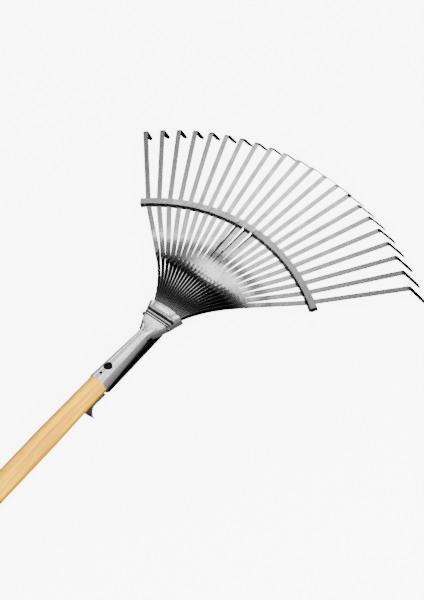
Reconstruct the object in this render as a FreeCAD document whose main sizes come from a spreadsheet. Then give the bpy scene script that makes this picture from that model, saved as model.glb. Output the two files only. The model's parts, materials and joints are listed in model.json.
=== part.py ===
import FreeCAD, Part
import math
import os

import Sketcher
from FreeCAD import Placement, Rotation, Vector

# Adjustable steel leaf rake.  All lengths are millimetres, all angles degrees.
#
# Design frame: Y runs along the handle's axis towards the tine tips, X is across the
# rake, Z is up, and the origin is the point where the straight tines would meet.
# The finished sub-parts are then laid down on their outer hook tips and the end of the
# handle (see `lay_down`), so that the floor is Z = 0 and the origin is the middle of the
# space that the rake takes up.

doc = FreeCAD.newDocument("leaf_rake")
sheet = doc.addObject("Spreadsheet::Sheet", "dims")

DIMENSIONS = [
    ("tine_count", 22, "tines in the fan"),
    ("tine_width", 6.3, "width of the spring steel strip"),
    ("tine_thick", 1.1, "thickness of the spring steel strip"),
    ("fan_half_angle", 44.6, "outermost tine to the centre line"),
    ("fan_droop", 0.055, "downward slope per square radian of spread"),
    ("pin_y", 6.0, "cross pin ahead of the fan's centre"),
    ("pin_dia", 3.0, "cross pin"),
    ("pin_hole_dia", 4.3, "loose hole in a tine's root"),
    ("root_pitch", 1.41, "tine to tine along the cross pin"),
    ("root_turn", 0.36, "share of the spread that a tine has at its root"),
    ("root_tail", 3.0, "strip behind the cross pin"),
    ("cross_turn", 1.07, "share of the spread that a tine has at the crossbar"),
    ("lean_start", 22.0, "cross pin to where the strips start to lean"),
    ("lean_turn", 20.0, "how far the strips lean before the quick twist"),
    ("twist_start", 70.0, "cross pin to the start of the middle tines' quick twist"),
    ("twist_delay", 11.0, "how much later the outermost tines' quick twist starts"),
    ("twist_length", 24.0, "length of the quick twist"),
    ("settle_turn", 16.0, "what is left of the quarter turn after the quick twist"),
    ("settle_length", 40.0, "length over which the strips settle flat"),
    ("bend_reach", 296.1, "fan centre to the middle tines' bend"),
    ("bend_arc_radius", 383.0, "arc through the bends"),
    ("hook_length", 43.1, "bend to tip"),
    ("hook_angle", 65.8, "turn at the bend"),
    ("hook_bend_radius", 4.5, "radius of the bend"),
    ("tip_length", 7.0, "tapered end of a hook"),
    ("tip_width", 1.6, "width at the very tip"),
    ("bar_reach", 178.3, "fan centre to the middle of the crossbar"),
    ("bar_arc_radius", 260.8, "arc of the tines' crossings in plan"),
    ("bar_end_angle", 34.4, "end of the crossbar round its own arc"),
    ("bar_width", 7.8, "crossbar channel, head side to tip side"),
    ("bar_sheet", 1.0, "crossbar sheet"),
    ("bar_top", 2.6, "strip's middle to the top of the crossbar"),
    ("bar_bottom", 5.8, "strip's middle to the underside of the crossbar"),
    ("bar_bulge", 3.2, "how far the crossbar's back stands out towards the head"),
    ("bar_waist", 1.9, "strip's middle to the level where the back stands out most"),
    ("window_side", 2.1, "room beside a strip in its window"),
    ("window_over", 0.75, "room over and under a strip in its window"),
    ("strut_dia", 3.2, "strut wire"),
    ("strut_spread", 13.4, "outer struts from the centre line at the crossbar"),
    ("strut_pitch", 4.2, "outer struts from the centre line at the slide bar"),
    ("strut_sway", 3.0, "how far the struts bow to the left behind the twist"),
    ("cap_dia", 6.0, "cap on an upturned strut end"),
    ("cap_height", 1.6, "cap on an upturned strut end"),
    ("patch_length", 44.0, "doubler plate on the crossbar"),
    ("patch_width", 7.2, "doubler plate on the crossbar"),
    ("patch_thick", 1.0, "doubler plate on the crossbar"),
    ("jaw_sheet", 1.2, "sheet of both jaws"),
    ("jaw_inside_top", 3.65, "underside of the upper jaw's plate"),
    ("jaw_floor_top", -4.2, "upper face of the lower jaw's floor"),
    ("jaw_flange_top", 2.6, "top edge of the lower jaw's side walls"),
    ("jaw_gap", 0.1, "upper jaw's side wall to the lower jaw's"),
    ("mouth_reach", 26.6, "middle of the mouth's edge"),
    ("mouth_radius", 157.0, "arc of the mouth's edge"),
    ("rivet_head_dia", 5.6, "heads of the cross pin"),
    ("rivet_head_height", 1.9, "heads of the cross pin"),
    ("socket_rear", 101.5, "socket's open rim behind the fan's centre"),
    ("socket_front", 22.0, "front end of the socket's tube"),
    ("socket_rear_radius", 13.5, "outside of the rim"),
    ("socket_front_radius", 8.6, "outside of the tube's front end"),
    ("socket_sheet", 0.9, "sheet of the socket"),
    ("seam_width", 0.7, "closed seam along the socket's top"),
    ("seam_depth", 0.5, "depth of the seam and the lap line in the sheet"),
    ("screw_hole_dia", 11.4, "large hole in the socket's top"),
    ("screw_hole_y", -80.0, "large hole in the socket's top"),
    ("nail_hole_dia", 4.2, "small hole in the socket's top"),
    ("nail_hole_y", -92.4, "small hole in the socket's top"),
    ("handle_dia", 28.6, "full diameter of the wooden handle"),
    ("handle_length", 1219.0, "wooden handle, tip to tip"),
    ("handle_front", 24.0, "front end of the handle behind the fan's centre"),
    ("handle_rim_dia", 24.9, "handle at the socket's rim"),
    ("handle_nose_dia", 14.8, "handle's front end"),
    ("handle_taper", 92.0, "taper behind the socket"),
    ("handle_round", 7.0, "rounding of the handle's free end"),
    ("hang_hole_dia", 8.0, "hole for hanging the rake up"),
    ("hang_hole_inset", 32.0, "hanging hole from the handle's free end"),
    ("guide_half_width", 8.9, "outside of the guide channel"),
    ("guide_sheet", 1.0, "guide channel's sheet"),
    ("guide_bottom", -19.0, "underside of the guide channel"),
    ("guide_rear", 98.0, "rear end of the guide channel"),
    ("guide_front", 2.0, "front end of the guide channel"),
    ("guide_slot_half", 4.7, "half the slot along the guide's underside"),
    ("guide_rear_top", -10.4, "top edge of the guide's cheeks at the rear"),
    ("guide_front_top", -5.3, "top edge of the guide's cheeks at the front"),
    ("liner_top", -13.6, "upper face of the plate that closes the guide"),
    ("slide_thick", 2.5, "slide bar"),
    ("slide_half_width", 7.6, "slide bar inside the guide"),
    ("slide_head_half", 10.6, "slide bar's wide front end"),
    ("slide_head_rear", 6.0, "rear of the slide bar's wide front end"),
    ("slide_top", -15.3, "upper face of the slide bar"),
    ("slide_rear", 100.0, "rear end of the slide bar"),
    ("slide_front", 22.0, "front end of the slide bar"),
    ("clip_length", 12.0, "clip that holds the struts on the slide bar"),
    ("clip_sheet", 1.0, "clip that holds the struts on the slide bar"),
    ("lever_pin_dia", 2.5, "lever's pin"),
    ("lever_pin_y", -96.0, "lever's pin"),
    ("lever_pin_z", -20.8, "lever's pin"),
    ("lever_sheet", 1.6, "lever's sheet"),
    ("lever_half_width", 6.0, "lever's arm"),
    ("lever_tab_half", 15.7, "half the lever's thumb tab"),
    ("lever_length", 37.0, "lever's pin to the end of the thumb tab"),
    ("ear_sheet", 1.2, "ears on the slide bar"),
    ("running_gap", 0.05, "radial room of a running fit"),
]

for row, (alias, value, note) in enumerate(DIMENSIONS, start=1):
    sheet.set("A%d" % row, alias)
    sheet.set("B%d" % row, repr(value))
    sheet.set("C%d" % row, note)
    sheet.setAlias("B%d" % row, alias)
doc.recompute()


def dim(alias):
    """The value of one of the sheet's cells."""
    return float(sheet.get(alias))


TINES = int(dim("tine_count"))
CENTRE_LINE = Vector(0, 1, 0)
ACROSS = Vector(1, 0, 0)
UP = Vector(0, 0, 1)


# ---------------------------------------------------------------------------
# The fan: where each tine runs
# ---------------------------------------------------------------------------
def spread(number):
    """The angle of one tine from the centre line, in radians."""
    share = (2 * number - TINES - 1) / (TINES - 1)
    return math.radians(dim("fan_half_angle")) * share


def droop(number):
    """The downward slope of one tine, in radians."""
    return dim("fan_droop") * spread(number) ** 2


def reach(angle, centre_reach, radius):
    """Distance from the fan's centre to an arc that crosses the centre line at
    centre_reach, measured along a ray at an angle from the centre line."""
    arc_centre = centre_reach - radius
    offset = arc_centre * math.sin(angle)
    return arc_centre * math.cos(angle) + math.sqrt(radius ** 2 - offset ** 2)


def heading(angle):
    """Level direction at an angle from the centre line, positive towards +X."""
    return Vector(math.sin(angle), math.cos(angle), 0)


def root_point(number):
    """Where a tine crosses the pin."""
    return Vector(dim("root_pitch") * (number - (TINES + 1) / 2), dim("pin_y"), 0)


def crossing_point(number):
    """Where a tine passes through the crossbar, in plan."""
    angle = spread(number)
    return heading(angle) * reach(angle, dim("bar_reach"), dim("bar_arc_radius"))


def bend_point(number):
    """Where a tine turns down into its hook, in plan."""
    angle = spread(number)
    return heading(angle) * reach(angle, dim("bend_reach"), dim("bend_arc_radius"))


def plan_route(number):
    """A tine's centre line in plan from its tail to the start of the hook's bend, as a
    list of (distance from the pin, point, level direction)."""
    angle = spread(number)
    root = root_point(number)
    root_way = heading(angle * dim("root_turn"))
    cross = crossing_point(number)
    cross_way = heading(angle * dim("cross_turn"))
    straight = dim("root_tail")
    route = [(-straight, root - root_way * straight, root_way)]
    start = root + root_way * straight
    span = (cross - start).Length
    steps = 36
    last = start
    travelled = straight
    for step in range(steps + 1):
        share = step / steps
        # Cubic curve with given ends and end directions.
        h_start = 2 * share ** 3 - 3 * share ** 2 + 1
        h_cross = 3 * share ** 2 - 2 * share ** 3
        h_leave = share ** 3 - 2 * share ** 2 + share
        h_arrive = share ** 3 - share ** 2
        point = start * h_start + cross * h_cross
        point = point + root_way * (h_leave * span) + cross_way * (h_arrive * span)
        d_start = 6 * share ** 2 - 6 * share
        d_leave = 3 * share ** 2 - 4 * share + 1
        d_arrive = 3 * share ** 2 - 2 * share
        way = (start - cross) * d_start + root_way * (d_leave * span)
        way = way + cross_way * (d_arrive * span)
        way.normalize()
        travelled += (point - last).Length
        last = point
        route.append((travelled, point, way))
    bend = bend_point(number)
    free_way = heading(angle)
    half_turn = math.radians(dim("hook_angle")) / 2
    setback = dim("hook_bend_radius") * math.tan(half_turn)
    end = bend - free_way * setback
    travelled += (end - last).Length
    route.append((travelled, end, free_way))
    return route


def strip_section(point, forward, wide, half_width):
    """Rectangle across the strip, centred on a point."""
    half_thick = dim("tine_thick") / 2
    thin = forward.cross(wide)
    thin.normalize()
    corners = [
        point + wide * half_width + thin * half_thick,
        point - wide * half_width + thin * half_thick,
        point - wide * half_width - thin * half_thick,
        point + wide * half_width - thin * half_thick,
    ]
    return Part.makePolygon(corners + corners[:1])


def eased(share):
    """0 before the start, 1 after the end, and a smooth change between them."""
    share = min(max(share, 0.0), 1.0)
    return share ** 2 * (3 - 2 * share)


def strip_turn(number, travelled):
    """How far a strip has turned from on edge (0) towards flat (a right angle)."""
    outwardness = spread(number) / spread(TINES)
    twist_start = dim("twist_start") + dim("twist_delay") * outwardness ** 2
    settle_start = twist_start + dim("twist_length")
    quick_turn = 90 - dim("lean_turn") - dim("settle_turn")
    lean = (travelled - dim("lean_start")) / (twist_start - dim("lean_start"))
    turn = dim("lean_turn") * min(max(lean, 0.0), 1.0)
    turn += quick_turn * eased((travelled - twist_start) / dim("twist_length"))
    turn += dim("settle_turn") * eased((travelled - settle_start) / dim("settle_length"))
    return math.radians(turn)


def tine_shape(number):
    """One tine: on edge in the clamp, a quarter turn, flat through the crossbar, then
    the bend and the hook.  All the strips turn the same way, top edge to the left."""
    slope = droop(number)
    half_width = dim("tine_width") / 2
    sections = []
    for travelled, point, way in plan_route(number):
        forward = way * math.cos(slope) - UP * math.sin(slope)
        upward = way * math.sin(slope) + UP * math.cos(slope)
        leftward = upward.cross(forward)
        turn = strip_turn(number, travelled)
        wide = upward * math.cos(turn) + leftward * math.sin(turn)
        place = point - UP * (travelled * math.tan(slope))
        sections.append(strip_section(place, forward, wide, half_width))
    # The bend: the strip rolls down about the level line across it.
    radius = dim("hook_bend_radius")
    axis = place - upward * radius
    total = math.radians(dim("hook_angle"))
    steps = 6
    for step in range(1, steps + 1):
        turned = total * step / steps
        ahead = forward * math.cos(turned) - upward * math.sin(turned)
        out = upward * math.cos(turned) + forward * math.sin(turned)
        sections.append(strip_section(axis + out * radius, ahead, leftward, half_width))
    hook = dim("hook_length") - radius * math.tan(total / 2)
    base = axis + out * radius
    shoulder = base + ahead * (hook - dim("tip_length"))
    tip = base + ahead * hook
    sections.append(strip_section(shoulder, ahead, leftward, half_width))
    sections.append(strip_section(tip, ahead, leftward, dim("tip_width") / 2))
    strip = Part.makeLoft(sections, True, True)
    hole_radius = dim("pin_hole_dia") / 2
    root = root_point(number)
    bore = Part.makeCylinder(hole_radius, 8, root - ACROSS * 4, ACROSS)
    return strip.cut(bore)


def hook_tip(number):
    """The lowest point of a tine's hook."""
    slope = droop(number)
    route = plan_route(number)
    travelled = route[-1][0] + dim("hook_bend_radius") * math.tan(
        math.radians(dim("hook_angle")) / 2
    )
    down = math.radians(dim("hook_angle")) + slope
    way = heading(spread(number))
    point = bend_point(number) - UP * (travelled * math.tan(slope))
    return point + (way * math.cos(down) - UP * math.sin(down)) * dim("hook_length")


# ---------------------------------------------------------------------------
# Laying the rake down
# ---------------------------------------------------------------------------
handle_end = -(dim("handle_front") + dim("handle_length"))
outer_tip = hook_tip(TINES)
middle_tip = hook_tip(TINES // 2)
handle_rest = Vector(0, handle_end + dim("handle_round"), -dim("handle_dia") / 2)
outer_tip_low = outer_tip.z - 0.5
rest_run = outer_tip.y - handle_rest.y
rest_tilt = math.atan2(handle_rest.z - outer_tip_low, rest_run)
rest_turn = Rotation(ACROSS, math.degrees(rest_tilt))
floor_drop = rest_turn.multVec(Vector(0, outer_tip.y, outer_tip_low)).z
front = rest_turn.multVec(middle_tip).y
back = rest_turn.multVec(Vector(0, handle_end, 0)).y
lay_down = Placement(Vector(0, -(front + back) / 2, -floor_drop), rest_turn)

sub_parts = []


def finish(thing, label, place=Placement()):
    """Name a sub-part and lay it down with the rest of the rake."""
    thing.Label = label
    thing.Placement = lay_down.multiply(place)
    sub_parts.append(thing)
    return thing


def bind(thing, **formulas):
    """Tie an object's sizes to the sheet."""
    for name, formula in formulas.items():
        thing.setExpression(name, formula)
    return thing


def cylinder(name, radius, height, base, way):
    """A cylinder whose radius and height are formulas on the sheet."""
    thing = doc.addObject("Part::Cylinder", name)
    bind(thing, Radius=radius, Height=height)
    thing.Placement = Placement(base, Rotation(UP, way))
    return thing


def cone(name, near, far, height, base, way):
    """A cone whose two radii and height are formulas on the sheet."""
    thing = doc.addObject("Part::Cone", name)
    bind(thing, Radius1=near, Radius2=far, Height=height)
    thing.Placement = Placement(base, Rotation(UP, way))
    return thing


def box(name, length, width, height, place):
    """A box whose three sides are formulas on the sheet."""
    thing = doc.addObject("Part::Box", name)
    bind(thing, Length=length, Width=width, Height=height)
    thing.Placement = place
    return thing


def fuse(name, things):
    thing = doc.addObject("Part::MultiFuse", name)
    thing.Shapes = things
    return thing


def cut(name, base, tool):
    thing = doc.addObject("Part::Cut", name)
    thing.Base = base
    thing.Tool = tool
    return thing


def compound(name, things):
    thing = doc.addObject("Part::Compound", name)
    thing.Links = things
    return thing


def origin_plane(body, role):
    for feature in body.Origin.OriginFeatures:
        if feature.Role == role:
            return feature
    raise ValueError(role)


def polygon_sketch(body, name, role, corners):
    """A closed outline on one of a body's origin planes.  Each corner is a pair of
    (starting value, formula on the sheet)."""
    sketch = body.newObject("Sketcher::SketchObject", name)
    sketch.AttachmentSupport = [(origin_plane(body, role), "")]
    sketch.MapMode = "FlatFace"
    points = [Vector(across[0], along[0], 0) for across, along in corners]
    count = len(points)
    for index in range(count):
        line = Part.LineSegment(points[index], points[(index + 1) % count])
        sketch.addGeometry(line, False)
    for index in range(count):
        after = (index + 1) % count
        sketch.addConstraint(Sketcher.Constraint("Coincident", index, 2, after, 1))
    for index, (across, along) in enumerate(corners):
        for kind, (value, formula) in (("DistanceX", across), ("DistanceY", along)):
            link = Sketcher.Constraint(kind, -1, 1, index, 1, value)
            number = sketch.addConstraint(link)
            sketch.setExpression("Constraints[%d]" % number, formula)
    return sketch


def at(formula, value):
    """A sketch coordinate: its starting value and the formula that drives it."""
    return (value, formula)


# ---------------------------------------------------------------------------
# Tines
# ---------------------------------------------------------------------------
for number in range(1, TINES + 1):
    tine = doc.addObject("Part::Feature", "tine_%02d" % number)
    tine.Shape = tine_shape(number)
    finish(tine, "tine_%02d" % number)

# ---------------------------------------------------------------------------
# Crossbar: a channel bent to an arc, open towards the tips, whose bulged back has a
# window for each tine
# ---------------------------------------------------------------------------
# The arc lies in a plane that leans back, so its ends drop with the outer tines.
end_cross = crossing_point(TINES)
end_drop = (end_cross - root_point(TINES)).Length * math.tan(droop(TINES))
bar_run = dim("bar_reach") - end_cross.y
bar_lean = math.atan2(end_drop, bar_run)
bar_sagitta = math.hypot(bar_run, end_drop)
bar_radius = (end_cross.x ** 2 + bar_sagitta ** 2) / (2 * bar_sagitta)
lean = Rotation(ACROSS, math.degrees(bar_lean))
bar_middle = Vector(0, dim("bar_reach"), 0)
bar_place = Placement(bar_middle - lean.multVec(CENTRE_LINE * bar_radius), lean)

sheet.set("A%d" % (len(DIMENSIONS) + 1), "bar_radius")
sheet.set("B%d" % (len(DIMENSIONS) + 1), repr(round(bar_radius, 3)))
sheet.setAlias("B%d" % (len(DIMENSIONS) + 1), "bar_radius")
doc.recompute()

bar_half = dim("bar_width") / 2
bar_inner = bar_half - dim("bar_sheet")
bar_lid = dim("bar_top") - dim("bar_sheet")
near_side = at("dims.bar_radius - dims.bar_width / 2", bar_radius - bar_half)
near_inner = at(
    "dims.bar_radius - dims.bar_width / 2 + dims.bar_sheet", bar_radius - bar_inner
)
back_side = at(
    "dims.bar_radius - dims.bar_width / 2 - dims.bar_bulge",
    bar_radius - bar_half - dim("bar_bulge"),
)
back_inner = at(
    "dims.bar_radius - dims.bar_width / 2 + dims.bar_sheet - dims.bar_bulge",
    bar_radius - bar_inner - dim("bar_bulge"),
)
far_side = at("dims.bar_radius + dims.bar_width / 2", bar_radius + bar_half)
bar_edge = at("-dims.bar_bottom", -dim("bar_bottom"))
bar_floor = at("-dims.bar_bottom + dims.bar_sheet", dim("bar_sheet") - dim("bar_bottom"))
bar_waist = at("-dims.bar_waist", -dim("bar_waist"))
bar_roof = at("dims.bar_top - dims.bar_sheet", bar_lid)
bar_crown = at("dims.bar_top", dim("bar_top"))

bar_body = doc.addObject("PartDesign::Body", "crossbar_channel")
bar_outline = polygon_sketch(
    bar_body,
    "crossbar_outline",
    "YZ_Plane",
    [
        (near_side, bar_edge),
        (back_side, bar_waist),
        (near_side, bar_crown),
        (far_side, bar_crown),
        (far_side, bar_roof),
        (near_inner, bar_roof),
        (back_inner, bar_waist),
        (near_inner, bar_floor),
        (far_side, bar_floor),
        (far_side, bar_edge),
    ],
)
bar_turn = bar_body.newObject("PartDesign::Revolution", "crossbar_bend")
bar_turn.Profile = bar_outline
bar_turn.ReferenceAxis = (bar_outline, ["V_Axis"])
bar_turn.Midplane = True
bind(bar_turn, Angle="2 * dims.bar_end_angle")
bar_body.Tip = bar_turn
bar_body.Placement = bar_place

WINDOW_DEPTH = 20.0


def window(number):
    """The room a tine needs through the back of the crossbar."""
    angle = spread(number)
    slope = droop(number)
    travelled = (crossing_point(number) - root_point(number)).Length
    middle = crossing_point(number) - UP * (travelled * math.tan(slope))
    turn = Rotation(UP, -math.degrees(angle))
    turn = turn.multiply(Rotation(ACROSS, -math.degrees(slope)))
    half_wide = dim("tine_width") / 2 + dim("window_side")
    half_high = dim("tine_thick") / 2 + dim("window_over")
    corner = middle + turn.multVec(Vector(-half_wide, -WINDOW_DEPTH / 2, -half_high))
    return box(
        "window_%02d" % number,
        "dims.tine_width + 2 * dims.window_side",
        "%.1f" % WINDOW_DEPTH,
        "dims.tine_thick + 2 * dims.window_over",
        Placement(corner, turn),
    )


windows = [window(number) for number in range(1, TINES + 1)]

# One wide notch in the back and the floor lets the struts into the crossbar.
STRUT_PLACES = (("left", -1), ("middle", 0), ("right", 1))
STRUT_LEVEL = -2.9
NOTCH_ROOM = 0.3
notch_half = dim("strut_spread") + dim("strut_dia") / 2 + NOTCH_ROOM
notch_low = -dim("bar_bottom") - 4
notch_top = STRUT_LEVEL + dim("strut_dia") / 2 + NOTCH_ROOM
notch = box(
    "strut_notch",
    "2 * dims.strut_spread + dims.strut_dia + %.2f" % (2 * NOTCH_ROOM),
    "14",
    "%.3f" % (notch_top - notch_low),
    Placement(Vector(-notch_half, dim("bar_reach") - 14, notch_low), Rotation()),
)
windows.append(notch)


def on_bar(across):
    """A point on the middle line of the crossbar, at a distance from the centre."""
    turned = math.asin(across / bar_radius)
    local = Vector(across, bar_radius * math.cos(turned), 0)
    return bar_place.multVec(local)


bar_up = lean.multVec(UP)
for side, sign in STRUT_PLACES:
    if sign == 0:
        continue
    foot = on_bar(sign * dim("strut_spread")) - bar_up * 0.5
    windows.append(
        cylinder(
            "strut_hole_" + side,
            "dims.strut_dia / 2 + dims.running_gap",
            "dims.bar_top + 2",
            foot,
            bar_up,
        )
    )

crossbar = cut("crossbar", bar_body, compound("crossbar_openings", windows))
finish(crossbar, "crossbar")

# Doubler plate over the two upturned strut ends.
patch_base = doc.addObject("PartDesign::Body", "patch_blank")
patch_half = dim("patch_width") / 2
patch_outline = polygon_sketch(
    patch_base,
    "patch_outline",
    "YZ_Plane",
    [
        (
            at("dims.bar_radius - dims.patch_width / 2", bar_radius - patch_half),
            at("dims.bar_top", dim("bar_top")),
        ),
        (
            at("dims.bar_radius - dims.patch_width / 2", bar_radius - patch_half),
            at("dims.bar_top + dims.patch_thick", dim("bar_top") + dim("patch_thick")),
        ),
        (
            at("dims.bar_radius + dims.patch_width / 2", bar_radius + patch_half),
            at("dims.bar_top + dims.patch_thick", dim("bar_top") + dim("patch_thick")),
        ),
        (
            at("dims.bar_radius + dims.patch_width / 2", bar_radius + patch_half),
            at("dims.bar_top", dim("bar_top")),
        ),
    ],
)
patch_turn = patch_base.newObject("PartDesign::Revolution", "patch_bend")
patch_turn.Profile = patch_outline
patch_turn.ReferenceAxis = (patch_outline, ["V_Axis"])
patch_turn.Midplane = True
bind(patch_turn, Angle="dims.patch_length / dims.bar_radius * 180 / pi")
patch_base.Tip = patch_turn
patch_base.Placement = bar_place
patch_holes = []
for side, sign in STRUT_PLACES:
    if sign == 0:
        continue
    patch_holes.append(
        cylinder(
            "patch_hole_" + side,
            "dims.strut_dia / 2 + dims.running_gap",
            "dims.bar_top + 4",
            on_bar(sign * dim("strut_spread")),
            bar_up,
        )
    )
doubler = cut("crossbar_doubler", patch_base, compound("patch_holes", patch_holes))
finish(doubler, "crossbar_doubler")

# ---------------------------------------------------------------------------
# Struts from the crossbar back to the slide bar
# ---------------------------------------------------------------------------
strut_radius = dim("strut_dia") / 2
STRUT_FIT = 0.02
strut_rest = dim("slide_top") + strut_radius + STRUT_FIT


def bent_wire(corners, radius, bends):
    """A round wire along straight runs joined by tangent arcs."""
    edges = []
    here = corners[0]
    for index in range(1, len(corners) - 1):
        corner = corners[index]
        incoming = (corner - corners[index - 1]).normalize()
        outgoing = (corners[index + 1] - corner).normalize()
        turn = incoming.getAngle(outgoing)
        setback = bends[index - 1] * math.tan(turn / 2)
        start = corner - incoming * setback
        end = corner + outgoing * setback
        inward = (outgoing - incoming).normalize()
        middle = corner + inward * (bends[index - 1] * (1 / math.cos(turn / 2) - 1))
        edges.append(Part.makeLine(here, start))
        edges.append(Part.Arc(start, middle, end).toShape())
        here = end
    edges.append(Part.makeLine(here, corners[-1]))
    path = Part.Wire(edges)
    first_way = (corners[1] - corners[0]).normalize()
    ring = Part.Wire(Part.makeCircle(radius, corners[0], first_way))
    return path.makePipeShell([ring], True, False, 0)


def strut_shape(sign):
    """One strut: flat on the slide bar, rising under the fan to the crossbar."""
    near = sign * dim("strut_pitch")
    top = on_bar(sign * dim("strut_spread"))
    corners = [
        Vector(near, dim("slide_front") - dim("clip_length") - 4, strut_rest),
        Vector(near, dim("slide_front") + 2, strut_rest),
        Vector(sign * 8.2 - dim("strut_sway"), 104, -4.9),
    ]
    bends = [24, 60]
    if sign == 0:
        corners.append(Vector(0, top.y + bar_inner - 0.4, STRUT_LEVEL))
    else:
        corners.append(Vector(top.x, top.y, 0) + UP * STRUT_LEVEL)
        cap_foot = dim("bar_top") + dim("patch_thick") + 0.1
        corners.append(top + bar_up * cap_foot)
        bends.append(2.0)
    return bent_wire(corners, strut_radius, bends)


for side, sign in STRUT_PLACES:
    strut = doc.addObject("Part::Feature", "strut_" + side)
    strut.Shape = strut_shape(sign)
    finish(strut, "strut_" + side)

caps = []
for side, sign in STRUT_PLACES:
    if sign == 0:
        continue
    seat = dim("bar_top") + dim("patch_thick")
    foot = on_bar(sign * dim("strut_spread")) + bar_up * seat
    head = cylinder("cap_%s_disc" % side, "dims.cap_dia / 2", "dims.cap_height", foot, bar_up)
    well = cylinder(
        "cap_%s_well" % side,
        "dims.strut_dia / 2 + dims.running_gap",
        "0.3",
        foot - bar_up * 0.1,
        bar_up,
    )
    caps.append(cut("cap_" + side, head, well))
finish(compound("strut_caps", caps), "strut_caps")

# ---------------------------------------------------------------------------
# Clamp: two jaws of pressed sheet and the cross pin through the tines' roots
# ---------------------------------------------------------------------------
# Half width of the upper jaw at stations along the rake.
JAW_EDGE = (
    (-22.0, 8.6),
    (-17.0, 8.9),
    (-11.6, 10.2),
    (-3.3, 14.5),
    (5.8, 18.7),
    (14.2, 21.6),
    (28.0, 26.9),
)


def jaw_half_width(along):
    """Half width of the upper jaw, straight between its stations."""
    for (before, near), (after, far) in zip(JAW_EDGE, JAW_EDGE[1:]):
        if along <= after:
            return near + (far - near) * (along - before) / (after - before)
    return JAW_EDGE[-1][1]


jaw_plate_top = dim("jaw_inside_top") + dim("jaw_sheet")
# (station, height of the top above the fan, edge height, squareness of the arch)
JAW_STATIONS = (
    (-22.0, 8.6, 0.0, 2.0),
    (-17.0, 8.0, -0.8, 2.2),
    (-11.6, 6.8, -1.8, 2.8),
    (-7.0, 5.9, -2.6, 4.0),
    (-3.3, 5.3, -3.2, 8.0),
    (1.0, jaw_plate_top, -3.6, 12.0),
    (5.8, jaw_plate_top, -3.6, 14.0),
    (6.6, jaw_plate_top + 0.9, -3.6, 12.0),
    (7.6, jaw_plate_top + 0.9, -3.6, 12.0),
    (8.4, jaw_plate_top, -3.6, 12.0),
    (9.4, jaw_plate_top + 1.2, -3.6, 12.0),
    (10.6, jaw_plate_top + 1.5, -3.6, 12.0),
    (11.8, jaw_plate_top + 1.2, -3.6, 12.0),
    (13.0, jaw_plate_top, -3.6, 12.0),
    (14.2, jaw_plate_top + 1.3, -3.4, 8.0),
    (16.0, jaw_plate_top + 2.3, -3.2, 5.5),
    (19.0, jaw_plate_top + 3.0, -2.8, 4.4),
    (23.0, jaw_plate_top + 3.1, -1.6, 4.0),
    (28.0, jaw_plate_top + 2.3, 0.0, 4.0),
)
ARCH_STEPS = 20


def arch(along, half_width, top, edge, power, thick):
    """Closed section of pressed sheet: an arch and the same arch inside it."""
    outer = []
    inner = []
    for step in range(ARCH_STEPS + 1):
        swing = math.pi * step / ARCH_STEPS
        level = abs(math.cos(swing)) ** (2 / power)
        rise = math.sin(swing) ** (2 / power) if 0 < step < ARCH_STEPS else 0.0
        side = -level if step < ARCH_STEPS / 2 else level
        outer.append(Vector(side * half_width, along, edge + rise * (top - edge)))
        inside = rise * (top - edge - thick)
        inner.append(Vector(side * (half_width - thick), along, edge + inside))
    ring = outer + inner[::-1]
    return Part.makePolygon(ring + ring[:1])


def mouth_cutter():
    """Everything ahead of the curved edge of the mouth."""
    radius = dim("mouth_radius")
    centre = Vector(0, dim("mouth_reach") - radius, -30)
    round_stock = Part.makeCylinder(radius, 60, centre, UP)
    block = Part.makeBox(80, 30, 60, Vector(-40, 15, -30))
    return block.cut(round_stock)


def pin_bore(extra):
    half = dim("rivet_head_height") + 40
    radius = dim("pin_dia") / 2 + extra
    return Part.makeCylinder(radius, 2 * half, Vector(-half, dim("pin_y"), 0), ACROSS)


upper_sections = []
for along, top, edge, power in JAW_STATIONS:
    section = arch(along, jaw_half_width(along), top, edge, power, dim("jaw_sheet"))
    upper_sections.append(section)
upper = Part.makeLoft(upper_sections, True, True)
upper = upper.cut(mouth_cutter()).cut(pin_bore(dim("running_gap")))
upper_jaw = doc.addObject("Part::Feature", "upper_jaw")
upper_jaw.Shape = upper
finish(upper_jaw, "upper_jaw")


def trough(along):
    """Section of the lower jaw: a floor with two side walls."""
    inner = jaw_half_width(along) + dim("jaw_gap")
    outer = inner + dim("jaw_sheet")
    floor_top = dim("jaw_floor_top")
    floor_low = floor_top - dim("jaw_sheet")
    wall_top = dim("jaw_flange_top")
    half = [(outer, wall_top), (outer, floor_low)]
    back = [(inner, floor_top), (inner, wall_top)]
    ring = [Vector(-x, along, z) for x, z in half]
    ring += [Vector(x, along, z) for x, z in reversed(half)]
    ring += [Vector(x, along, z) for x, z in reversed(back)]
    ring += [Vector(-x, along, z) for x, z in back]
    return Part.makePolygon(ring + ring[:1])


LOWER_STATIONS = (-14.0, -11.6, -3.3, 5.8, 14.2, 28.0)
lower = Part.makeLoft([trough(along) for along in LOWER_STATIONS], True, True)
JOINT_RIVET_Y = -8.0
JOINT_RIVET_RADIUS = 2.0
RIVET_FIT = 0.05
lower = lower.cut(mouth_cutter()).cut(pin_bore(dim("running_gap")))
rivet_bore = Part.makeCylinder(
    JOINT_RIVET_RADIUS + RIVET_FIT, 20, Vector(0, JOINT_RIVET_Y, -12), UP
)
lower = lower.cut(rivet_bore)
lower_jaw = doc.addObject("Part::Feature", "lower_jaw")
lower_jaw.Shape = lower
finish(lower_jaw, "lower_jaw")

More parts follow.
